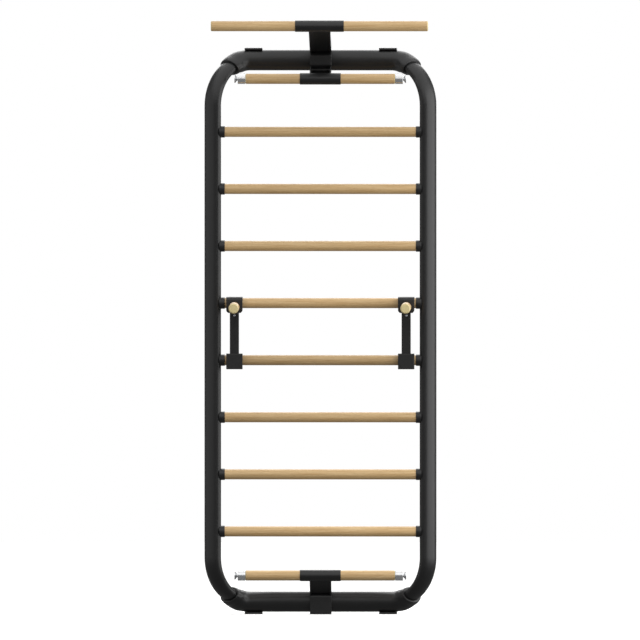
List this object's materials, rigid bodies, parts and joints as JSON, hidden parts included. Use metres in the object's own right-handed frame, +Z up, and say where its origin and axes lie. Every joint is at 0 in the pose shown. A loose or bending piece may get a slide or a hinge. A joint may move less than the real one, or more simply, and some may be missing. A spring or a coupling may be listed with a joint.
{
  "type": "wall bars",
  "caption": "Wall-mounted ladder of round wooden rungs in a black oval-tube frame, with a pull-up bar on an arm, short band bars and clip-on dip handles.",
  "frame": {"origin": "where the wall meets the floor, in the middle of the frame", "axes": "+Z up, +Y into the wall, +X to the right as seen by someone who faces the bars; the user stands on the -Y side"},
  "size_m": [0.9094, 0.48, 2.3366],
  "materials": {
    "black_paint": "black powder coat, fine texture, satin",
    "ash_wood": "light ash, clear matt oil, fine lengthwise grain",
    "black_plastic": "moulded black nylon, fine matt texture",
    "aluminium": "turned, polished aluminium",
    "zinc_steel": "bright zinc-plated steel"
  },
  "bodies": {
    "frame": {"side_tube_left": "black_paint", "side_tube_right": "black_paint", "crossbeam_top": "black_paint", "crossbeam_bottom": "black_paint", "rung_1": "ash_wood", "rung_2": "ash_wood", "rung_3": "ash_wood", "rung_4": "ash_wood", "rung_5": "ash_wood", "rung_6": "ash_wood", "rung_7": "ash_wood", "rung_8": "ash_wood", "rung_socket_left_1": "black_plastic", "rung_socket_left_2": "black_plastic", "rung_socket_left_3": "black_plastic", "rung_socket_left_4": "black_plastic", "rung_socket_left_5": "black_plastic", "rung_socket_left_6": "black_plastic", "rung_socket_left_7": "black_plastic", "rung_socket_left_8": "black_plastic", "rung_socket_right_1": "black_plastic", "rung_socket_right_2": "black_plastic", "rung_socket_right_3": "black_plastic", "rung_socket_right_4": "black_plastic", "rung_socket_right_5": "black_plastic", "rung_socket_right_6": "black_plastic", "rung_socket_right_7": "black_plastic", "rung_socket_right_8": "black_plastic", "wall_bracket_top_left": "black_paint", "wall_bracket_top_right": "black_paint", "wall_bracket_bottom_left": "black_paint", "wall_bracket_bottom_right": "black_paint", "clamp_top": "black_paint", "clamp_bottom": "black_paint", "pull_up_arm": "black_paint", "band_arm_top": "black_paint", "band_arm_bottom": "black_paint", "pull_up_bar": "ash_wood", "pull_up_sleeve": "black_paint", "band_bar_top": "ash_wood", "band_sleeve_top": "black_paint", "band_bar_bottom": "ash_wood", "band_sleeve_bottom": "black_paint", "spool_top_left": "aluminium", "spool_top_right": "aluminium", "spool_bottom_left": "aluminium", "spool_bottom_right": "aluminium"},
    "left_liner": {"dip_liner_left": "black_plastic"},
    "left_handle": {"dip_hook_left": "black_plastic", "dip_stem_left": "black_paint", "dip_foot_left": "black_plastic", "dip_grip_left": "ash_wood", "dip_screw_left": "zinc_steel"},
    "right_liner": {"dip_liner_right": "black_plastic"},
    "right_handle": {"dip_hook_right": "black_plastic", "dip_stem_right": "black_paint", "dip_foot_right": "black_plastic", "dip_grip_right": "ash_wood", "dip_screw_right": "zinc_steel"}
  },
  "joints": [
    {"name": "left_handle_slide", "type": "slide", "parent": "frame", "child": "left_liner", "axis": [1, 0, 0], "range_m": [-0.005, 0.29]},
    {"name": "left_handle_swing", "type": "hinge", "parent": "left_liner", "child": "left_handle", "pos_m": [-0.3367, -0.179, 1.2217], "axis": [-1, 0, 0], "range_deg": [0, 75]},
    {"name": "right_handle_slide", "type": "slide", "parent": "frame", "child": "right_liner", "axis": [-1, 0, 0], "range_m": [-0.005, 0.29]},
    {"name": "right_handle_swing", "type": "hinge", "parent": "right_liner", "child": "right_handle", "pos_m": [0.3367, -0.179, 1.2217], "axis": [-1, 0, 0], "range_deg": [0, 75]}
  ]
}
